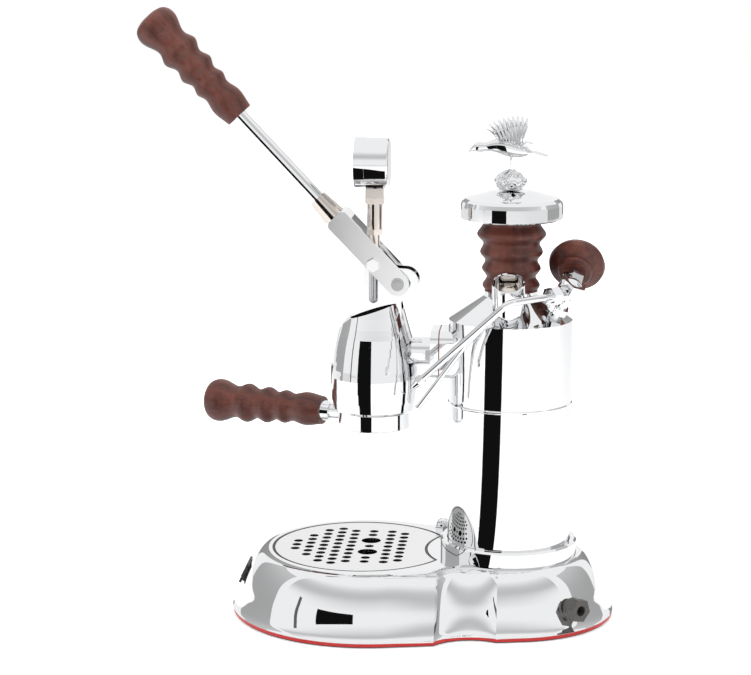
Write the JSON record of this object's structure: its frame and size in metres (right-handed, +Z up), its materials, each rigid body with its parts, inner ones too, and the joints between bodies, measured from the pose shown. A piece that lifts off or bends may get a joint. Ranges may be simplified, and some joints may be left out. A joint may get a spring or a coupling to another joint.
{
  "type": "lever espresso machine",
  "caption": "Manual lever espresso machine: two-lobed base with drip tray, upright boiler, lever group with pressure gauge, portafilter and steam wand.",
  "frame": {"origin": "centre of the base footprint, on the surface it stands on", "axes": "+Z up; -Y towards the group and lever, +Y towards the boiler; +X towards the steam wand side"},
  "size_m": [0.2, 0.3479, 0.4434],
  "materials": {
    "chrome": "polished chrome plating",
    "steel": "plain steel",
    "nickel": "warm nickel plating",
    "brass": "machined brass",
    "wood": "oiled dark red hardwood, turned",
    "red_trim": "red moulded trim",
    "black_plastic": "black moulded plastic",
    "grey_plastic": "dark grey moulded nylon",
    "rubber": "black rubber",
    "gasket": "heat-proof gasket",
    "glass": "clear glass",
    "dial": "white dial with plain scale",
    "needle": "black paint"
  },
  "bodies": {
    "machine": {"base_shell": "chrome", "trim_band": "red_trim", "base_plate": "black_plastic", "base_feet": "rubber", "base_screws": "steel", "base_cap_nut": "chrome", "switch_housing": "black_plastic", "cable_gland": "grey_plastic", "boiler_shell": "chrome", "boiler_neck": "chrome", "boiler_ring": "chrome", "gaskets": "gasket", "heater_flange": "brass", "heating_element": "steel", "boiler_controls": "brass", "group_body": "chrome", "group_badge": "steel", "boiler_port": "chrome", "flange_screws": "steel", "cylinder_sleeve": "brass", "shower_screen": "steel", "steam_valve_body": "chrome", "wand_nut": "chrome", "safety_valve_body": "chrome", "relief_pipe": "chrome", "sight_fittings": "chrome", "sight_tube": "glass", "sight_guard": "chrome"},
    "rocker": {"switch_rocker": "black_plastic"},
    "tray": {"drip_tray": "black_plastic"},
    "grate": {"drip_grate": "chrome"},
    "cap_washer": {"cap_gasket": "gasket"},
    "cap": {"cap_insert": "brass", "cap_collar": "wood", "cap_disc": "chrome", "cap_finial": "chrome"},
    "piston": {"piston": "brass", "piston_seals": "rubber", "piston_rod": "steel", "lever_pin": "chrome", "gauge_stem": "nickel", "gauge_case": "chrome", "gauge_bezel": "chrome", "gauge_glass": "glass", "gauge_dial": "dial"},
    "needle": {"gauge_needle": "needle"},
    "lever": {"lever_fork": "chrome", "fulcrum_pin": "steel", "lever_ferrule": "nickel", "lever_rod": "chrome", "lever_handle": "wood"},
    "portafilter": {"portafilter_body": "chrome", "portafilter_ferrule": "chrome", "portafilter_handle": "wood", "filter_basket": "steel", "basket_spring": "steel"},
    "steam_tap": {"steam_stem": "steel", "steam_knob": "wood"},
    "wand": {"steam_wand": "chrome"},
    "relief": {"safety_poppet": "nickel"}
  },
  "joints": [
    {"name": "piston_slide", "type": "slide", "parent": "machine", "child": "piston", "axis": [0, 0, 1], "range_m": [-0.02484, 0.0044]},
    {"name": "lever_swing", "type": "hinge", "parent": "piston", "child": "lever", "pos_m": [0, -0.0354, 0.2608], "axis": [1, 0, 0], "range_deg": [-12, 68]},
    {"name": "portafilter_turn", "type": "hinge", "parent": "machine", "child": "portafilter", "pos_m": [0, -0.0354, 0.1466], "axis": [0, 0, 1], "range_deg": [-45, 15]},
    {"name": "steam_tap_turn", "type": "hinge", "parent": "machine", "child": "steam_tap", "pos_m": [0.01279, 0.10744, 0.25002], "axis": [-0.8873, 0.144, 0.4381], "range_deg": [0, 540]},
    {"name": "wand_swivel", "type": "hinge", "parent": "machine", "child": "wand", "pos_m": [0.03888, 0.09042, 0.2434], "axis": [0.7136, -0.7005, 0], "range_deg": [0, 75]},
    {"name": "cap_rise", "type": "slide", "parent": "machine", "child": "cap_washer", "axis": [0, 0, 1], "range_m": [0, 0.008]},
    {"name": "cap_turn", "type": "hinge", "parent": "cap_washer", "child": "cap", "pos_m": [0, 0.0635, 0.2426], "axis": [0, 0, 1], "range_deg": [0, 1440]},
    {"name": "tray_lift", "type": "slide", "parent": "machine", "child": "tray", "axis": [0, 0, 1], "range_m": [0, 0.06]},
    {"name": "grate_lift", "type": "slide", "parent": "tray", "child": "grate", "axis": [0, 0, 1], "range_m": [0, 0.025]},
    {"name": "rocker_tip", "type": "hinge", "parent": "machine", "child": "rocker", "pos_m": [0, -0.1312, 0.026], "axis": [1, 0, 0], "range_deg": [0, 14]},
    {"name": "needle_turn", "type": "hinge", "parent": "piston", "child": "needle", "pos_m": [0, -0.0434, 0.333], "axis": [0, 1, 0], "range_deg": [0, 270], "stiffness_Nm_per_rad": 0.00002, "springref_deg": -28.65},
    {"name": "relief_lift", "type": "slide", "parent": "machine", "child": "relief", "axis": [0.4848, 0, 0.8746], "range_m": [0, 0.0015], "stiffness_N_per_m": 2500, "springref_m": -0.004}
  ],
  "couplings": [
    {"joint": "piston_slide", "follows": "lever_swing", "m_per_rad": -0.020913},
    {"joint": "cap_rise", "follows": "cap_turn", "m_per_rad": 0.00031831}
  ]
}
